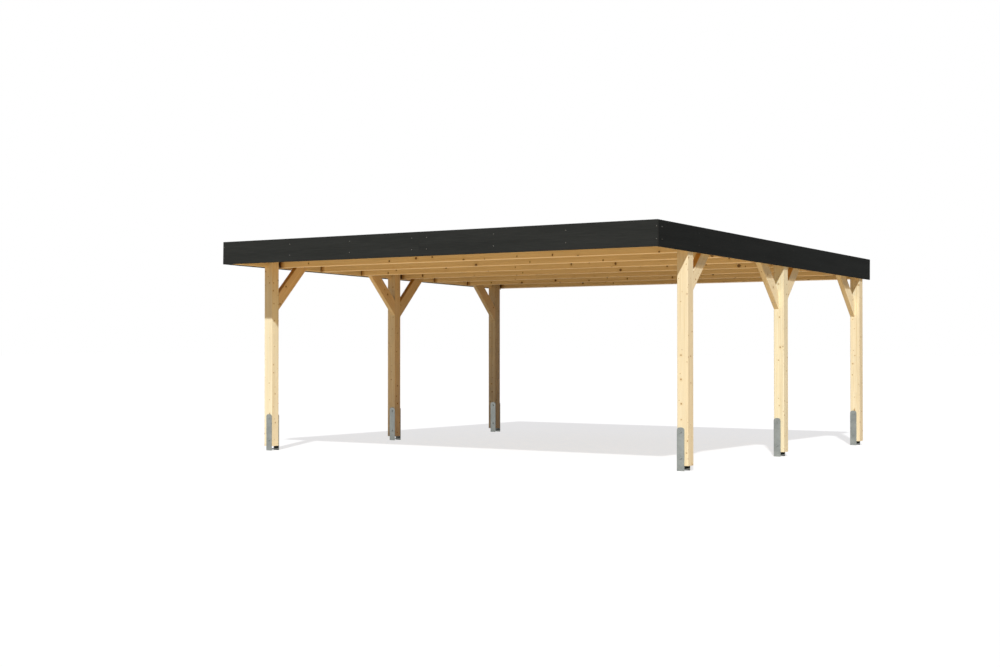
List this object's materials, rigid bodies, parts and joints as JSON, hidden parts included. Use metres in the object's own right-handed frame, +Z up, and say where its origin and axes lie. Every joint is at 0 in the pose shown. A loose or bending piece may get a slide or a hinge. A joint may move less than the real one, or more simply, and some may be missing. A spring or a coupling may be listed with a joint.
{
  "type": "double carport",
  "caption": "Flat-roofed timber double carport: open frame of posts on steel anchors with knee braces, purlins, rafters, dark fascia boards and ribbed roof sheets.",
  "frame": {"origin": "on the ground, under the middle of the roof's plan", "axes": "+Z up, +Y from the front to the back, down the roof's fall, +X to the right seen from the front"},
  "size_m": [5.625, 5.7825, 2.4369],
  "materials": {
    "timber": "planed spruce, untreated",
    "fascia": "dark grey coated boards, matt",
    "galvanised": "hot-dip galvanised",
    "roof_sheet": "matt coated steel sheet"
  },
  "bodies": {
    "root": {"post_front_left": "timber", "post_front_right": "timber", "post_middle_left": "timber", "post_middle_right": "timber", "post_back_left": "timber", "post_back_right": "timber", "anchor_front_left": "galvanised", "anchor_front_right": "galvanised", "anchor_middle_left": "galvanised", "anchor_middle_right": "galvanised", "anchor_back_left": "galvanised", "anchor_back_right": "galvanised", "brace_front_left": "timber", "brace_front_right": "timber", "brace_middle_fore_left": "timber", "brace_middle_fore_right": "timber", "brace_middle_aft_left": "timber", "brace_middle_aft_right": "timber", "brace_back_left": "timber", "brace_back_right": "timber", "purlin_left": "timber", "purlin_right": "timber", "rafter_1": "timber", "rafter_2": "timber", "rafter_3": "timber", "rafter_4": "timber", "rafter_5": "timber", "rafter_6": "timber", "rafter_7": "timber", "rafter_8": "timber", "rafter_9": "timber", "fascia_front_left": "fascia", "fascia_front_right": "fascia", "fascia_left": "fascia", "fascia_right": "fascia", "fascia_back_left": "fascia", "fascia_back_right": "fascia", "roof_sheet_1": "roof_sheet", "roof_sheet_2": "roof_sheet", "roof_sheet_3": "roof_sheet", "roof_sheet_4": "roof_sheet", "roof_sheet_5": "roof_sheet"}
  },
  "joints": []
}
